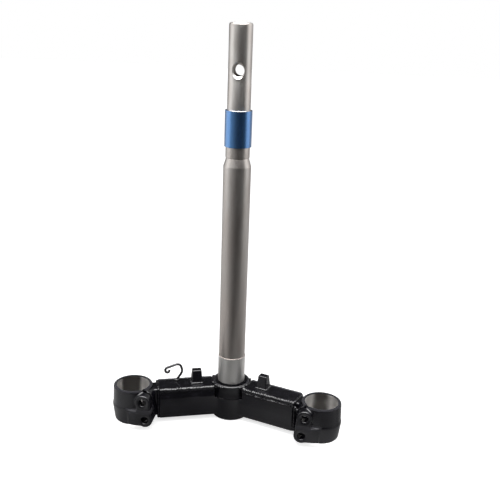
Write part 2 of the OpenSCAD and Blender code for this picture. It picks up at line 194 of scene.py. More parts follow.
def stem_steel():
    steel = Finish("drawn_steel")
    z = steel.axes()[2]
    draw_lines = steel.noise(900, (1, 1, 0.012), 4)
    clouds = steel.noise(45, (1, 1, 0.35), 4, 0.6)
    rings = steel.noise(220, (0.06, 0.06, 1), 3)
    # The colour turns browner and darker in patches from the top down towards the seat
    height = steel.ramp(z, TONE_LOW, TONE_HIGH)
    brown = steel.mix(steel.ramp(clouds, 0.35, 0.7), RED_BROWN, GREY)
    darker_below = steel.mix((1 - height) * 0.55 * steel.ramp(clouds, 0.2, 0.75), brown, DARK_BROWN)
    ground = 1 - steel.ramp(z, SEAT_TOP - 0.3 * MM, SEAT_TOP + 0.1 * MM)
    clean = steel.mix(draw_lines * 0.35, SEAT_GREY, GREY)
    base = steel.mix(ground, darker_below, clean)
    above, below = SEAT_TOP + 0.3 * MM, SEAT_TOP - 0.9 * MM
    edge = steel.ramp(z, below, SEAT_TOP - 0.6 * MM) * (1 - steel.ramp(z, SEAT_TOP, above))
    marks = steel.mix(steel.ramp(draw_lines, 0.62, 0.8) * 0.35 + edge * 0.8, base, DARK_BROWN)
    gloss = 0.28 + clouds * 0.14 + draw_lines * 0.08 + ground * 0.05 + edge * 0.3
    grain = draw_lines * 0.6 + rings * ground * 0.5 + rings * 0.2
    # The seat's foot, from just above the boss down, is black and not metal
    foot = 1 - steel.ramp(z + steel.noise(160) * 0.8 * MM, -1.5 * MM, -0.9 * MM)
    colour = steel.mix(foot, marks, BLACK)
    return steel.surface(Base_Color=colour, Metallic=1 - foot, Roughness=gloss,
                         Normal=steel.relief(grain, 0.05 * MM))


DRAWN_STEEL = stem_steel()

# %% [markdown]
# ## Gloss black dip paint
# The bridge is dipped, so the paint is thick and glossy, with a faint orange peel. Dust takes
# off some of the gloss. On the clamps the fork bores were turned after the paint, so one mask,
# the distance from a fork's axis, changes paint to bare steel, and a painted shade darkens the
# middle of the bores' front wall. The clamps' rims and the ledges beside their ears are dull. The
# arm with the hook leans back under its seam, which a wide bump shows without moving any point.

# %% Mix the black paints
FORK_OUT, FORK_AHEAD = 107.5, 37
FORK_X, FORK_Y, FORK_R = FORK_OUT * MM, -FORK_AHEAD * MM, 18.5 * MM
DIE_LINE_Z = -21.7 * MM
TURNING_FEED = 0.35 * MM
FOLD_LOW, FOLD_HIGH, FOLD_DEPTH = -15.5 * MM, -7.5 * MM, 2.1 * MM
DUSTY = (0.0085, 0.0081, 0.0118, 1)
TURNED, TURNED_DARK = (0.80, 0.785, 0.77, 1), (0.56, 0.545, 0.53, 1)
# The dark colour of the painted shade inside the fork bores
BORE_SHADE = (0.10, 0.095, 0.09, 1)


def paint_layers(paint, peel, least):
    """Base colour, roughness and relief height of the dip paint."""
    clouds = paint.noise(70, detail=4, rough=0.6)
    base = paint.mix(paint.ramp(clouds, 0.42, 0.75), BLACK, DUSTY)
    gloss = least + clouds * 0.18
    height = paint.noise(420, detail=2) * peel + paint.noise(110, detail=2) * 0.5
    return base, gloss, height


def dip_paint(name, peel, reach, least):
    """Plain dip paint, with its orange peel's reach in metres and its least roughness."""
    paint = Finish(name)
    base, gloss, height = paint_layers(paint, peel, least)
    return paint.surface(Base_Color=base, Roughness=gloss, Normal=paint.relief(height, reach))


def clamp_paint():
    """Dip paint outside the fork bores, turned steel inside them, and a painted shade on their front
    wall.
    """
    paint = Finish("clamp_paint")
    base, gloss, height = paint_layers(paint, 1.0, 0.12)
    x, y, z = paint.axes()
    off_x = paint.add("ShaderNodeMath", {"operation": "ABSOLUTE"}, {0: x}) - FORK_X
    off_y = y - FORK_Y
    radius = (off_x * off_x + off_y * off_y) ** 0.5
    ragged = z + paint.noise(150) * 0.8 * MM
    bare = 1 - paint.ramp(radius, FORK_R + 0.10 * MM, FORK_R + 0.35 * MM)
    bare = bare * (1 - paint.ramp(ragged, -0.75 * MM, -0.35 * MM))
    rim = paint.ramp(z, -1.6 * MM, -1.0 * MM) * (1 - bare)
    die_line = paint.add("ShaderNodeMath", {"operation": "ABSOLUTE"}, {0: z - DIE_LINE_Z})
    ledge = (1 - paint.ramp(die_line, 2.0 * MM, 3.0 * MM)) * (1 - paint.ramp(y, -50 * MM, -47 * MM))
    ledge = ledge * (1 - paint.ramp(off_x, 0, 4 * MM))
    side = paint.add("ShaderNodeMath", {"operation": "SIGN"}, {0: x})
    # Painted shade: the middle of each bore's front wall turns dark, as if it lay in shade
    ahead = (off_y + off_x * (0.2 - side * 0.25)) / FORK_R
    painted_shade = paint.ramp(ahead - paint.noise(60) * 0.12, 0.74, 0.92)
    around = paint.add("ShaderNodeMath", {"operation": "ARCTAN2"}, {0: off_y, 1: off_x})
    streak_place = paint.add("ShaderNodeCombineXYZ", inputs={0: around * 0.02, 1: z * 0.12, 2: 0.0})
    streaks = paint.add("ShaderNodeTexNoise", inputs={
        "Vector": streak_place, "Scale": 260.0, "Detail": 4.0, "Roughness": 0.6})
    blotches = paint.noise(90, detail=3)
    turning = paint.add("ShaderNodeMath", {"operation": "SINE"}, {0: z * (math.tau / TURNING_FEED)})
    fresh = paint.mix(paint.ramp(blotches, 0.3, 0.7) * 0.5 + streaks * 0.3, TURNED, TURNED_DARK)
    steel = paint.mix(painted_shade, fresh, BORE_SHADE)
    colour = paint.mix(bare, base, steel)
    roughness = (gloss + ledge * 0.5 + rim * 0.8) * (1 - bare) + bare * (0.42 + streaks * 0.12)
    relief = height * (1 - bare) + (turning * 0.2 + 0.5) * bare
    return paint.surface(Base_Color=colour, Metallic=bare, Roughness=roughness,
                         Normal=paint.relief(relief, 0.06 * MM))


def shell_paint():
    """Dip paint over sheet that leans back below its upper edge."""
    paint = Finish("shell_paint")
    base, gloss, height = paint_layers(paint, 0.6, 0.10)
    x, _, z = paint.axes()
    lean = paint.ramp(z + paint.noise(45) * 2.4 * MM, FOLD_LOW, FOLD_HIGH)
    held = 1 - paint.ramp(x, -4 * MM, 4 * MM)
    skin = paint.relief(height, 0.05 * MM)
    fold = paint.add("ShaderNodeBump", inputs={
        "Height": 1 - lean * held, "Distance": FOLD_DEPTH, "Normal": skin})
    return paint.surface(Base_Color=base, Roughness=gloss, Normal=fold)


SHELL_PAINT = shell_paint()
SHEET_PAINT = dip_paint("sheet_paint", 0.6, 0.05 * MM, 0.10)
BEAD_PAINT = dip_paint("bead_paint", 1.2, 0.15 * MM, 0.07)
DULL_PAINT = dip_paint("dull_paint", 0.8, 0.06 * MM, 0.70)
BOSS_PAINT = dip_paint("boss_paint", 0.8, 0.06 * MM, 0.30)
CLAMP_PAINT = clamp_paint()

# %% [markdown]
# ## The blue sleeve
# A soft plastic tube is slipped over the thread so that it isn't knocked in transport. Under a
# clear skin it mirrors the lamps in blue, so its edges look pale and its middle dark.

# %% Mix the blue plastic
DEEP_BLUE, PALE_BLUE = (0.07, 0.24, 0.58, 1), (0.11, 0.33, 0.70, 1)


def sleeve_plastic():
    plastic = Finish("blue_sleeve")
    haze = plastic.noise(60, (1, 1, 0.4), 3)
    base = plastic.mix(haze, DEEP_BLUE, PALE_BLUE)
    return plastic.surface(Base_Color=base, Roughness=0.26 + haze * 0.14, IOR=1.45, Metallic=0.8,
                           Transmission_Weight=1.0, Coat_Weight=1.0, Coat_Roughness=0.22, Coat_IOR=1.6,
                           Normal=plastic.relief(plastic.noise(150, detail=2), 0.08 * MM))


BLUE_PLASTIC = sleeve_plastic()

# %% [markdown]
# ## Helpers that finish a piece
# Each dressed piece replaces its solid. Forged and pressed edges are never sharp, but turned
# ones are, so a copy of the solid is cut into small even faces, and its points are then averaged
# with their neighbours everywhere except on the machined places.

# %% Build, soften and place a piece
LOOSE, FULL = 0.002 * MM, 0.6


def new_piece(name, mesh, material, node):
    """Links a mesh as a piece that stands for a node."""
    mesh.materials.clear()
    mesh.materials.append(material)
    piece = bpy.data.objects.new(name, mesh)
    bpy.context.scene.collection.objects.link(piece)
    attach(piece, "root")
    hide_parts(node)
    mesh.calc_loop_triangles()
    print(name, len(mesh.loop_triangles), "triangles")


def merged_copy(node):
    """A copy of a node's mesh whose loose triangles are joined."""
    mesh = NODES[node].data.copy()
    shape = bmesh.new()
    shape.from_mesh(mesh)
    bmesh.ops.remove_doubles(shape, verts=shape.verts, dist=LOOSE)
    shape.to_mesh(mesh)
    shape.free()
    return mesh


def evaluated(mesh, prepare):
    """Puts modifiers on a mesh, and returns the plain mesh that they make."""
    holder = bpy.data.objects.new("holder", mesh)
    bpy.context.scene.collection.objects.link(holder)
    prepare(holder)
    result = bpy.data.meshes.new_from_object(
        holder.evaluated_get(bpy.context.evaluated_depsgraph_get()))
    bpy.data.objects.remove(holder)
    return result


def even_faces(mesh, voxel):
    """The same form in even faces about one voxel wide."""
    def remesh(holder):
        modifier = holder.modifiers.new("even", "REMESH")
        modifier.mode = "VOXEL"
        modifier.voxel_size = voxel
    return evaluated(mesh, remesh)


def points_of(mesh):
    flat = np.zeros(len(mesh.vertices) * 3)
    mesh.vertices.foreach_get("co", flat)
    return flat.reshape(-1, 3)


def set_points(mesh, points):
    mesh.vertices.foreach_set("co", points.ravel())
    mesh.update()


def average(mesh, rounds, share):
    """Moves each point towards the middle of its neighbours, by its share."""
    flat = np.zeros(len(mesh.edges) * 2, np.int64)
    mesh.edges.foreach_get("vertices", flat)
    ends = flat.reshape(-1, 2)
    one, two = np.concatenate([ends[:, 0], ends[:, 1]]), np.concatenate([ends[:, 1], ends[:, 0]])
    count = np.bincount(one, minlength=len(mesh.vertices)).clip(1)
    points = points_of(mesh)
    weight = share(points)[:, None]
    for _ in range(rounds):
        middle = np.stack([np.bincount(one, points[two, k], len(points)) for k in range(3)], 1)
        points += (middle / count[:, None] - points) * weight
    set_points(mesh, points)


def full_share(points):
    return np.full(len(points), FULL)


def soften(node, voxel, rounds, share=full_share):
    """A copy of a node with rounded edges."""
    mesh = even_faces(merged_copy(node), voxel)
    average(mesh, rounds, share)
    mesh.shade_smooth()
    mesh.set_sharp_from_angle(angle=SOFT_EDGE)
    return mesh


def smooth_copy(node):
    """A merged copy that shades smooth and keeps its turned edges."""
    mesh = merged_copy(node)
    mesh.shade_smooth()
    mesh.set_sharp_from_angle(angle=TURNED_EDGE)
    return mesh


# %% [markdown]
# ## The stem with its real thread
# The drawing gives the tube as plain turned steps. Here the same outline is turned again, and
# between its two thread ends each point moves in by a helical wave, so the nuts' thread is real
# geometry. All of it lies under the sleeve, because the photograph shows the tube smooth below.
# The cross hole and its countersinks are then cut with a boolean, as a drill would.

# %% Turn the stem and cut its thread
# Radii and heights in millimetres
TUBE_R, SEAT_R, THREAD_R, BAND_R, POST_R = 15, 15.5, 13, 12.4, 12.3
TUBE_BORE_R, POST_BORE_R = 12, 9.1
STEM_FOOT, SEAT_LOW, THREAD_LOW, THREAD_HIGH, ROUND_LOW, STEM_TOP = -45.5, -5.5, 271, 310, 395.5, 398
TUBE_ENDS, POST_LOW = (40, 250.2), 338
# The cone above the tube and the smooth stretch below the thread
SWAGED = [(14.95, 251), (12.5, 259.3), (12.4, 260),
          (THREAD_R, 260.6), (THREAD_R, 265.5), (THREAD_R, 270.9)]
TOP_ROUND, TOP_LIP = 2.5, (9.6, 397.6)
BORE_CONE = (263, 248)
PITCH, THREAD_DEPTH, RUN_OUT, ROWS_PER_TURN, STEM_SIDES = 1.0, 0.6, 2, 6, 96
HOLE_Z, HOLE_SIDES = 351, 64
# The cross hole and its countersink as (radius, distance from the stem's axis)
HOLE_STEPS = [(6, 4), (6, 9.55), (9.75, 13.3)]


def stem_outline():
    """Points of the section as (radius, height, thread depth share), up outside, down inside."""
    rows = [(TUBE_R, STEM_FOOT), (TUBE_R, SEAT_LOW), (SEAT_R, SEAT_LOW), (SEAT_R, 29.5), (TUBE_R, 30)]
    rows += [(TUBE_R, z) for z in np.linspace(*TUBE_ENDS, 12)] + SWAGED
    rows = [(r, z, 0) for r, z in rows]
    steps = int((THREAD_HIGH - THREAD_LOW) / PITCH * ROWS_PER_TURN)
    for k in range(1, steps):
        z = THREAD_LOW + k * PITCH / ROWS_PER_TURN
        ends = min(z - THREAD_LOW, THREAD_HIGH - z)
        rows.append((THREAD_R, z, min(1, ends / RUN_OUT)))
    rows += [(BAND_R, 310.3, 0), (BAND_R, 337.5, 0)]
    rows += [(POST_R, z, 0) for z in np.linspace(POST_LOW, ROUND_LOW, 6)]
    rows += [(9.8 + TOP_ROUND * math.cos(a), ROUND_LOW + TOP_ROUND * math.sin(a), 0)
             for a in np.linspace(0.2, math.pi / 2, 7)]
    rows += [(TOP_LIP[0], STEM_TOP, 0), (POST_BORE_R, TOP_LIP[1], 0), (POST_BORE_R, BORE_CONE[0], 0),
             (TUBE_BORE_R, BORE_CONE[1], 0), (TUBE_BORE_R, STEM_FOOT, 0)]
    return rows


def turn_stem():
    """Turns the section round, and moves the thread's points in by a wave that climbs."""
    rows = stem_outline()
    angles = np.arange(STEM_SIDES) / STEM_SIDES * math.tau
    points = []
    for radius, z, depth in rows:
        phase = (z / PITCH - angles / math.tau) % 1
        wave = np.clip(np.abs(phase - 0.5) * 2.6 - 0.15, 0, 1) * THREAD_DEPTH * depth
        r = (radius - wave) * MM
        points.append(np.stack([r * np.cos(angles), r * np.sin(angles), np.full(STEM_SIDES, z * MM)], 1))
    count = len(rows)
    faces = [(i * STEM_SIDES + k, i * STEM_SIDES + (k + 1) % STEM_SIDES,
              (i + 1) % count * STEM_SIDES + (k + 1) % STEM_SIDES, (i + 1) % count * STEM_SIDES + k)
             for i in range(count) for k in range(STEM_SIDES)]
    mesh = bpy.data.meshes.new("stem")
    mesh.from_pydata(np.concatenate(points).tolist(), [], faces)
    return mesh


def drill(radius_steps):
    """A turned cutter along Y through the post, from (radius, distance from the axis) steps."""
    shape = bmesh.new()
    steps = [(r, -d) for r, d in reversed(radius_steps)] + radius_steps
    rings = []
    for r, d in steps:
        ring = [shape.verts.new((r * MM * math.cos(a), d * MM, (HOLE_Z + r * math.sin(a)) * MM))
                for a in np.arange(HOLE_SIDES) / HOLE_SIDES * math.tau]
        rings.append(ring)
    for low, high in zip(rings, rings[1:]):
        for k in range(HOLE_SIDES):
            after = (k + 1) % HOLE_SIDES
            shape.faces.new((low[k], low[after], high[after], high[k]))
    shape.faces.new(rings[0])
    shape.faces.new(rings[-1])
    bmesh.ops.recalc_face_normals(shape, faces=shape.faces)
    mesh = bpy.data.meshes.new("drill")
    shape.to_mesh(mesh)
    shape.free()
    return mesh


def cut(mesh, cutter_mesh):
    cutter = bpy.data.objects.new("cutter", cutter_mesh)
    bpy.context.scene.collection.objects.link(cutter)

    def prepare(holder):
        modifier = holder.modifiers.new("cut", "BOOLEAN")
        modifier.operation, modifier.solver, modifier.object = "DIFFERENCE", "EXACT", cutter
    result = evaluated(mesh, prepare)
    bpy.data.objects.remove(cutter)
    return result


stem_mesh = cut(turn_stem(), drill(HOLE_STEPS))
stem_mesh.shade_smooth()
stem_mesh.set_sharp_from_angle(angle=THREAD_EDGE)
new_piece("turned_stem", stem_mesh, DRAWN_STEEL, "steering_stem")

# %% [markdown]
# ## Forged clamps
# A forging keeps rounded corners where its two dies meet, and only the bores, the slit and the
# faces under the bolt heads are cut sharp. The share that each point may move is small near
# those, and full elsewhere.

# %% Soften the clamps
BOLTS = ((90.5, -10.7), (88.0, -32.2))
SLIT_Y, EAR_BACK, LEDGE_Y = -50.75 * MM, -38 * MM, -50 * MM


def clamp_share(points):
    """The share that each point of a clamp may move."""
    x, y, z = np.abs(points[:, 0]), points[:, 1], points[:, 2]
    radius = np.hypot(x - FORK_X, y - FORK_Y)
    share = full_share(points)
    share[radius < FORK_R + 1.2 * MM] = 0.05
    share[(np.abs(y - SLIT_Y) < 2.2 * MM) & (x < FORK_X)] = 0.08
    for bolt_x, bolt_z in BOLTS:
        off = np.hypot(x - bolt_x * MM, z - bolt_z * MM)
        share[(off < 5.2 * MM) & (y < EAR_BACK)] = 0.10
    share[(np.abs(z - DIE_LINE_Z) < 2.2 * MM) & (y < LEDGE_Y) & (x < FORK_X)] = 0.12
    return share


for side in SIDES:
    node = "fork_clamp_" + side
    new_piece("forged_clamp_" + side, soften(node, 0.55 * MM, 14, clamp_share),
              CLAMP_PAINT, node)

# %% [markdown]
# ## Pressed sheet, boss and lugs
# The shell is thick sheet with a soft bend along each lower edge. The boss is turned, so it
# keeps its edges and only shades round. The lugs are cropped bar with rounded corners.

# %% Dress the shell, boss, plates and lugs
JOINT_R, JOINT_LOW, TIGHT = 23.5 * MM, -24 * MM, 0.04


def shell_share(points):
    """The joint that lies flush with the boss stays tight."""
    radius = np.hypot(points[:, 0], points[:, 1])
    return np.where((radius < JOINT_R) & (points[:, 2] > JOINT_LOW), TIGHT, FULL)


shell_mesh = soften("arm_shell", 0.68 * MM, 6, shell_share)
new_piece("pressed_shell", shell_mesh, SHELL_PAINT, "arm_shell")
new_piece("turned_boss", smooth_copy("head_boss"), BOSS_PAINT, "head_boss")
for side in SIDES:
    new_piece("plate_" + side, smooth_copy("cover_plate_" + side), SHEET_PAINT,
              "cover_plate_" + side)
    new_piece("lug_" + side, soften("stop_lug_" + side, 0.45 * MM, 8), SHEET_PAINT,
              "stop_lug_" + side)

# %% [markdown]
# ## Weld beads
# A hand-laid bead is a row of small puddles, each frozen over the last. That is one shape
# repeated along a path, so Geometry Nodes lay it: the path is cut into even steps, a flattened
# ball sits on each step with its own size, and all become one mesh.

# %% Grow a node tree that lays puddles along a path
def bead_tree():
    tree = bpy.data.node_groups.new("weld_bead", "GeometryNodeTree")
    face = tree.interface
    face.new_socket("Path", in_out="INPUT", socket_type="NodeSocketGeometry")
    for name, value in (("Step", 1.6 * MM), ("Width", 2.0 * MM), ("Length", 2.2 * MM),
                        ("Unevenness", 0.2)):
        face.new_socket(name, in_out="INPUT", socket_type="NodeSocketFloat").default_value = value
    face.new_socket("Seed", in_out="INPUT", socket_type="NodeSocketInt").default_value = 1
    face.new_socket("Finish", in_out="INPUT", socket_type="NodeSocketMaterial")
    face.new_socket("Bead", in_out="OUTPUT", socket_type="NodeSocketGeometry")
    make, link = tree.nodes.new, tree.links.new
    given, result = make("NodeGroupInput"), make("NodeGroupOutput")

    curve = make("GeometryNodeMeshToCurve")
    steps = make("GeometryNodeResampleCurve")
    steps.mode = "LENGTH"
    ball = make("GeometryNodeMeshIcoSphere")
    ball.inputs["Radius"].default_value = 1.0
    ball.inputs["Subdivisions"].default_value = 3
    tangent = make("GeometryNodeInputTangent")
    align = make("FunctionNodeAlignRotationToVector")
    align.axis = "X"
    size = make("ShaderNodeCombineXYZ")
    least = make("ShaderNodeMath")
    least.operation, least.inputs[0].default_value = "SUBTRACT", 1.0
    most = make("ShaderNodeMath")
    most.operation, most.inputs[0].default_value = "ADD", 1.0
    vary = make("FunctionNodeRandomValue")
    vary.data_type = "FLOAT"
    scale = make("ShaderNodeVectorMath")
    scale.operation = "SCALE"
    stamp = make("GeometryNodeInstanceOnPoints")
    whole = make("GeometryNodeRealizeInstances")
    coat = make("GeometryNodeSetMaterial")

    link(given.outputs["Path"], curve.inputs["Mesh"])
    link(curve.outputs["Curve"], steps.inputs["Curve"])
    link(given.outputs["Step"], steps.inputs["Length"])
    link(tangent.outputs[0], align.inputs["Vector"])
    link(given.outputs["Length"], size.inputs[0])
    link(given.outputs["Width"], size.inputs[1])
    link(given.outputs["Width"], size.inputs[2])
    link(given.outputs["Unevenness"], least.inputs[1])
    link(given.outputs["Unevenness"], most.inputs[1])
    link(least.outputs[0], vary.inputs[2])
    link(most.outputs[0], vary.inputs[3])
    link(given.outputs["Seed"], vary.inputs["Seed"])
    link(size.outputs[0], scale.inputs[0])
    link(vary.outputs[1], scale.inputs["Scale"])
    link(steps.outputs["Curve"], stamp.inputs["Points"])
    link(ball.outputs["Mesh"], stamp.inputs["Instance"])
    link(align.outputs[0], stamp.inputs["Rotation"])
    link(scale.outputs[0], stamp.inputs["Scale"])
    link(stamp.outputs["Instances"], whole.inputs["Geometry"])
    link(whole.outputs["Geometry"], coat.inputs["Geometry"])
    link(given.outputs["Finish"], coat.inputs["Material"])
    link(coat.outputs["Geometry"], result.inputs["Bead"])
    print("bead tree", len(tree.nodes), "nodes")
    return tree


BEAD_TREE = bead_tree()

# %% [markdown]
# Each path is a chain of points beside the joint that it closes, written along an arm: out
# along it, to its rear and up. The puddles are then fused, as the melted metal is. The bead on
# the rider's left front is the roughest: a thin second row runs under it, and it ends in a blob.
# The rear beads are even and dull.

# %% Lay the beads
ARM_ANGLE = math.atan2(FORK_AHEAD, FORK_OUT)
MELT_SHARE = 0.4
# A manner is a row's step, width, length and unevenness, and places and sizes are in millimetres.
SMOOTH, ROUGH, HIDDEN = (1.9, 2.6, 1.9, 0.22), (2.2, 2.5, 1.7, 0.30), (1.3, 2.1, 1.7, 0.05)
SEAM_MANNERS = {("front", "left"): (ROUGH, 0.34), ("front", "right"): (SMOOTH, 0.20),
                ("rear", "left"): (HIDDEN, 0.04), ("rear", "right"): (HIDDEN, 0.04)}
SEAM_ENDS, SEAM_REAR, SEAM_Z, SEAM_POINTS = (22.8, 83.6), 12.1, -5.5, 40
TOE_ENDS, TOE_REAR, TOE_Z, TOE_SHAKE, TOE_MANNER = (27, 82), -13.5, -9.0, 0.35, (2.2, 1.15, 1.2, 0.45)
BLOB = ((82.4, -12.3, -5.2), (85, -13.0, -7.4), (87.6, -12.4, -9.8), (89.4, -11.4, -12.6))
BLOB_MANNER = (2.9, 2.3, 2.0, 0.25)
COLLAR_R, COLLAR_Z, COLLAR_BACK, COLLAR_AHEAD = 22.3, -3.7, 0.58, {"left": 0.62, "right": 0.95}
COLLAR_MANNER = (1.4, 1.6, 1.4, 0.15)
NECK_OUT, NECK_WIDE, NECK_LOW, NECK_HIGH = 85.8, 10.3, -39.0, -4.4
NECK_CORNERS = ((-NECK_WIDE, NECK_LOW), (-NECK_WIDE, NECK_HIGH), (NECK_WIDE, NECK_HIGH),
                (NECK_WIDE, NECK_LOW), (-NECK_WIDE, NECK_LOW))
NECK_MANNER = (1.6, 1.6, 1.6, 0.18)
LUG_CORNERS = ((34.5, -3.3, -3.6), (46.9, -3.3, -3.6), (46.9, 9.1, -3.6))
LUG_MANNER = (1.1, 1.35, 1.1, 0.15)


def on_arm(side, out, rear, height):
    """A point given along an arm in millimetres, in the part's frame."""
    x = out * math.cos(ARM_ANGLE) + rear * math.sin(ARM_ANGLE)
    y = rear * math.cos(ARM_ANGLE) - out * math.sin(ARM_ANGLE)
    return (SIDES[side] * x * MM, y * MM, height * MM)


def puddles(path, seed, step, width, length, uneven):
    """The mesh of one row of puddles, with sizes in millimetres."""
    mesh = bpy.data.meshes.new("path")
    mesh.from_pydata(path, [(k, k + 1) for k in range(len(path) - 1)], [])
    sizes = {"Step": step * MM, "Width": width * MM, "Length": length * MM, "Unevenness": uneven,
             "Seed": seed, "Finish": BEAD_PAINT}

    def prepare(holder):
        modifier = holder.modifiers.new("bead", "NODES")
        modifier.node_group = BEAD_TREE
        for item in BEAD_TREE.interface.items_tree:
            if item.name in sizes:
                modifier[item.identifier] = sizes[item.name]
    return evaluated(mesh, prepare)


def lay_bead(name, node, rows, voxel=0.35, paint=BEAD_PAINT):
    """Fuses rows of puddles into one bead that stands for a node."""
    together = bmesh.new()
    for row in rows:
        together.from_mesh(puddles(*row))
    mesh = bpy.data.meshes.new(name)
    together.to_mesh(mesh)
    together.free()
    fused = even_faces(mesh, voxel * MM)
    average(fused, 2, lambda points: np.full(len(points), MELT_SHARE))
    fused.shade_smooth()
    new_piece(name, fused, paint, node)


def wander(points, seed, reach):
    """Moves the points of a path a little, as a hand does."""
    random = np.random.default_rng(seed)
    return [tuple(np.array(p) + random.normal(0, reach * MM, 3)) for p in points]


def seam_rows(side, face, number):
    """The rows of puddles of one seam bead."""
    manner, shake = SEAM_MANNERS[face, side]
    rear = SEAM_REAR if face == "rear" else -SEAM_REAR
    path = [on_arm(side, out, rear, SEAM_Z) for out in np.linspace(*SEAM_ENDS, SEAM_POINTS)]
    rows = [(wander(path, 11 + number, shake), 21 + number) + manner]
    if (face, side) == ("front", "left"):
        toe = [on_arm(side, out, TOE_REAR, TOE_Z) for out in np.linspace(*TOE_ENDS, SEAM_POINTS)]
        rows.append((wander(toe, 71, TOE_SHAKE), 72) + TOE_MANNER)
        rows.append(([on_arm(side, *point) for point in BLOB], 73) + BLOB_MANNER)
    return rows


for number, side in enumerate(SIDES):
    for face in ("front", "rear"):
        lay_bead(f"{face}_seam_bead_{side}", f"{face}_seam_weld_{side}", seam_rows(side, face, number),
                 0.3, DULL_PAINT if face == "rear" else BEAD_PAINT)
    start, end = ARM_ANGLE - COLLAR_BACK, ARM_ANGLE + COLLAR_AHEAD[side]
    turn = [(SIDES[side] * COLLAR_R * math.cos(a) * MM, -COLLAR_R * math.sin(a) * MM, COLLAR_Z * MM)
            for a in np.linspace(start, end, 20)]
    lay_bead("boss_bead_" + side, "boss_weld_" + side, [(turn, 31 + number) + COLLAR_MANNER])
    frame_path = [on_arm(side, NECK_OUT, rear, z) for rear, z in NECK_CORNERS]
    lay_bead("clamp_bead_" + side, "clamp_weld_" + side, [(frame_path, 41 + number) + NECK_MANNER])
    lug_path = [on_arm(side, *corner) for corner in LUG_CORNERS]
    lay_bead("lug_bead_" + side, "lug_weld_" + side, [(lug_path, 51 + number) + LUG_MANNER], 0.25)

# %% [markdown]
# ## The wire hook
# The hook is one bent wire. Its path is a list of straights and bends like the drawing's, with a
# rounder bend at the top and a tighter curl at the end, as the photograph shows. Geometry Nodes
# sweep a circle along it, which is how a wire keeps its thickness through a bend.

# %% Bend the wire
# Lengths in millimetres and angles in degrees; each run is a straight, a bend's radius and its angle.
WIRE_R = 1.35
HOOK_RUNS = [(8.5, 9, 55), (1.8, 4.6, 88), (10.8, 3.3, 120), (0, 2.1, 130), (0.6, 0, 0)]
HOOK_FOOT, HOOK_REAR, HOOK_LEAN, BEND_STEP, PLATE_TOP = 63.5, 7.5, 35, 6, -4
FOOT_STEPS, FOOT_Z, FOOT_MANNER = ((-1.6, 0), (0, -0.6), (1.5, 0.6)), -3.4, (0.9, 1.7, 1.7, 0.2)


def wire_path():
    """Points of the wire from its foot, worked out along the arm and upwards."""
    place = np.array([HOOK_FOOT, PLATE_TOP + WIRE_R * math.sin(math.radians(HOOK_LEAN))])
    heading = 90.0 + HOOK_LEAN
    points = [place.copy()]
    for straight, radius, bend in HOOK_RUNS:
        ahead = np.array([math.cos(math.radians(heading)), math.sin(math.radians(heading))])
        place = place + ahead * straight
        points.append(place.copy())
        if not bend:
            continue
        centre = place + radius * np.array([ahead[1], -ahead[0]])
        steps = math.ceil(bend / BEND_STEP)
        for k in range(1, steps + 1):
            turned = math.radians(heading - bend * k / steps)
            points.append(centre + radius * np.array([-math.sin(turned), math.cos(turned)]))
        place, heading = points[-1].copy(), heading - bend
    return [on_arm("right", p[0], HOOK_REAR, p[1]) for p in points]


def wire_tree():
    """A node tree that sweeps a circle along a path."""
    tree = bpy.data.node_groups.new("bent_wire", "GeometryNodeTree")
    face = tree.interface
    face.new_socket("Path", in_out="INPUT", socket_type="NodeSocketGeometry")
    face.new_socket("Thickness", in_out="INPUT", socket_type="NodeSocketFloat").default_value = MM
    face.new_socket("Finish", in_out="INPUT", socket_type="NodeSocketMaterial")
    face.new_socket("Wire", in_out="OUTPUT", socket_type="NodeSocketGeometry")
    make, link = tree.nodes.new, tree.links.new
    given, result = make("NodeGroupInput"), make("NodeGroupOutput")
    curve, circle, sweep = (make("GeometryNode" + kind) for kind in
                            ("MeshToCurve", "CurvePrimitiveCircle", "CurveToMesh"))
    circle.inputs["Resolution"].default_value = 24
    sweep.inputs["Fill Caps"].default_value = True
    whole, coat = make("GeometryNodeRealizeInstances"), make("GeometryNodeSetMaterial")
    link(given.outputs["Path"], curve.inputs["Mesh"])
    link(given.outputs["Thickness"], circle.inputs["Radius"])
    link(curve.outputs["Curve"], sweep.inputs["Curve"])
    link(circle.outputs["Curve"], sweep.inputs["Profile Curve"])
    link(sweep.outputs["Mesh"], whole.inputs["Geometry"])
    link(whole.outputs["Geometry"], coat.inputs["Geometry"])
    link(given.outputs["Finish"], coat.inputs["Material"])
    link(coat.outputs["Geometry"], result.inputs["Wire"])
    return tree


def bend_wire():
    points = wire_path()
    mesh = bpy.data.meshes.new("wire_hook")
    mesh.from_pydata(points, [(k, k + 1) for k in range(len(points) - 1)], [])
    tree = wire_tree()
    values = {"Thickness": WIRE_R * MM, "Finish": BOSS_PAINT}

    def prepare(holder):
        modifier = holder.modifiers.new("wire", "NODES")
        modifier.node_group = tree
        for item in tree.interface.items_tree:
            if item.name in values:
                modifier[item.identifier] = values[item.name]
    swept = evaluated(mesh, prepare)
    swept.shade_smooth()
    swept.set_sharp_from_angle(angle=BOLD_EDGE)
    return swept


new_piece("wire_hook", bend_wire(), BOSS_PAINT, "cable_hook")
foot = [on_arm("right", HOOK_FOOT + out, HOOK_REAR + rear, FOOT_Z) for out, rear in FOOT_STEPS]
lay_bead("hook_blob", "hook_weld", [(foot, 61) + FOOT_MANNER], 0.25)

# %% [markdown]
# ## The sleeve
# The sleeve keeps the drawing's form and gets the blue plastic.

# %% Dress the sleeve
new_piece("thread_guard", smooth_copy("thread_sleeve"), BLUE_PLASTIC, "thread_sleeve")

# %% [markdown]
# ## Floor, lamps and sky
# A catalogue photograph is taken on white paper between two tall soft boxes. Bare steel shows
# them as a bright stripe along each side, and shows the dark room behind the camera as a dark
# stripe in the middle. So the sky and the paper are white to the camera, and what a gloss
# surface sees of them is darker: the sky towards the room's front and back, the far paper
# towards the front, and the near paper most on the side of the hook and least beside the
# clamps. A bright zone overhead draws the thin lights on beads and rounded edges.

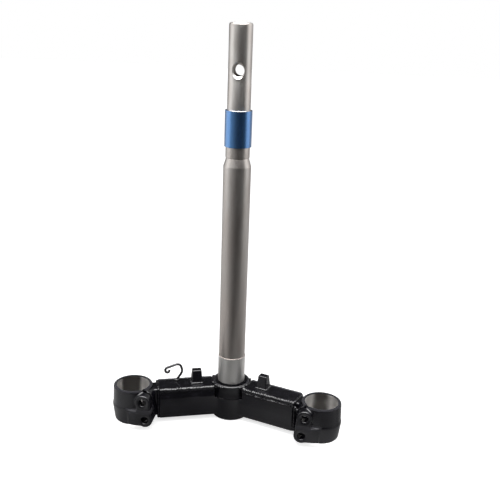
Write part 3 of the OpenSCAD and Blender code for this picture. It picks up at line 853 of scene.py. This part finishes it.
# %% Light the scene
DARK_TURN, OVERHEAD_TILT = math.radians(29), math.radians(10)
DARK_AXIS = (math.sin(DARK_TURN), -math.cos(DARK_TURN), 0.0)
OVERHEAD = (0.0, -math.sin(OVERHEAD_TILT), math.cos(OVERHEAD_TILT))
NEARLY_NONE = 0.001
PALE, DARK, WHITE = (0.80, 0.80, 0.80, 1), (0.05, 0.05, 0.05, 1), (1, 1, 1, 1)
FLOOR_REACH = 6.0
# Each lamp's name, place, aim, width and length in metres, and power in watts
LAMPS = [("left_box", (-1.0, 0.0, 0.55), (0, 0, 0.4), (1.1, 1.1), 3.4),
         ("right_box", (1.0, 0.15, 0.55), (0, 0, 0.4), (0.8, 1.1), 2.6),
         ("top_box", (-0.1, -0.35, 1.6), (0, 0, 0), (1.5, 0.5), 8)]


def rays(net):
    """1 for a camera ray, a gloss ray and a transmitted ray, else 0."""
    outputs = net.add("ShaderNodeLightPath").socket.node.outputs
    names = ("Is Camera Ray", "Is Glossy Ray", "Is Transmission Ray")
    return [Wire(net, outputs[name]) for name in names]


def heading(net, direction):
    """1 for a direction that points to the room's dark front, and -1 for its back."""
    along = net.add("ShaderNodeVectorMath", {"operation": "DOT_PRODUCT"},
                    {0: direction, 1: DARK_AXIS}, 1)
    length = net.add("ShaderNodeVectorMath", {"operation": "LENGTH"}, {0: direction}, 1)
    return along / (length + NEARLY_NONE)


def studio_floor():
    """White paper that keeps the shadow and is darker where gloss mirrors it."""
    paper = Finish("paper")
    camera_ray, gloss_ray, clear_ray = rays(paper)
    where = paper.place((1, 1, 0))
    far_dark = paper.add("ShaderNodeMapRange", inputs={
        0: heading(paper, where), 1: -0.3, 2: 1.0, 3: 0.0, 4: 1.0})
    off = paper.add("ShaderNodeVectorMath", {"operation": "LENGTH"}, {0: where}, 1)
    x, y, _ = paper.axes()
    near_dark = 0.745 - paper.ramp(x, -0.04, 0.05) * 0.48 + paper.ramp(y, -0.075, -0.12) * 0.25
    near = 1 - paper.ramp(off, 0.12, 0.18)
    aside = paper.ramp(paper.add("ShaderNodeMath", {"operation": "ABSOLUTE"}, {0: x}), 0.06, 0.10)
    by_clamps = aside * paper.ramp(y, -0.30, -0.22) * (1 - paper.ramp(y, -0.06, -0.02))
    dark = (far_dark * (1 - near) + near_dark * near - by_clamps * 0.34) * gloss_ray
    glow = paper.add("ShaderNodeEmission", inputs={
        "Color": WHITE, "Strength": camera_ray * 0.7 + clear_ray * 0.4})
    shade = paper.mix(dark, PALE, DARK)
    matt = paper.add("ShaderNodeBsdfDiffuse", inputs={"Color": shade})
    both = paper.add("ShaderNodeAddShader", inputs={0: matt, 1: glow})
    paper.add("ShaderNodeOutputMaterial", inputs={"Surface": both})
    mesh = bpy.data.meshes.new("floor")
    far, z = FLOOR_REACH, CAD_BOX[0][2]
    mesh.from_pydata([(-far, -far, z), (far, -far, z), (far, far, z), (-far, far, z)],
                     [], [(0, 1, 2, 3)])
    mesh.materials.append(paper.material)
    floor = bpy.data.objects.new("floor", mesh)
    bpy.context.scene.collection.objects.link(floor)


def soft_lamp(name, place, aim, size, power):
    lamp = bpy.data.lights.new(name, "AREA")
    lamp.shape, lamp.size, lamp.size_y, lamp.energy = "RECTANGLE", size[0], size[1], power
    holder = bpy.data.objects.new(name, lamp)
    holder.location = place
    holder.rotation_euler = (Vector(aim) - Vector(place)).to_track_quat("-Z", "Y").to_euler()
    bpy.context.scene.collection.objects.link(holder)


def studio_sky():
    """White to the camera, darker at front and back to gloss, and bright overhead."""
    sky = Finish("sky", bpy.data.worlds)
    camera_ray, gloss_ray, clear_ray = rays(sky)
    direction = sky.add("ShaderNodeTexCoord")
    ends = sky.add("ShaderNodeMath", {"operation": "ABSOLUTE"}, {0: heading(sky, direction)})
    dark = sky.ramp(ends, 0.3, 0.85)
    overhead = sky.add("ShaderNodeVectorMath", {"operation": "DOT_PRODUCT"},
                       {0: direction, 1: OVERHEAD}, 1)
    zenith = sky.ramp(overhead, 0.73, 0.83) * gloss_ray * 9.0
    plain = 0.5 + gloss_ray * 0.35 + clear_ray * 0.5
    strength = camera_ray + (1 - camera_ray) * (plain * (1 - dark * gloss_ray * 0.93) + zenith)
    light = sky.add("ShaderNodeBackground", inputs={"Color": WHITE, "Strength": strength})
    sky.add("ShaderNodeOutputWorld", inputs={"Surface": light})
    bpy.context.scene.world = sky.material


studio_floor()
for lamp in LAMPS:
    soft_lamp(*lamp)
studio_sky()
bpy.context.scene.view_settings.view_transform = "Standard"
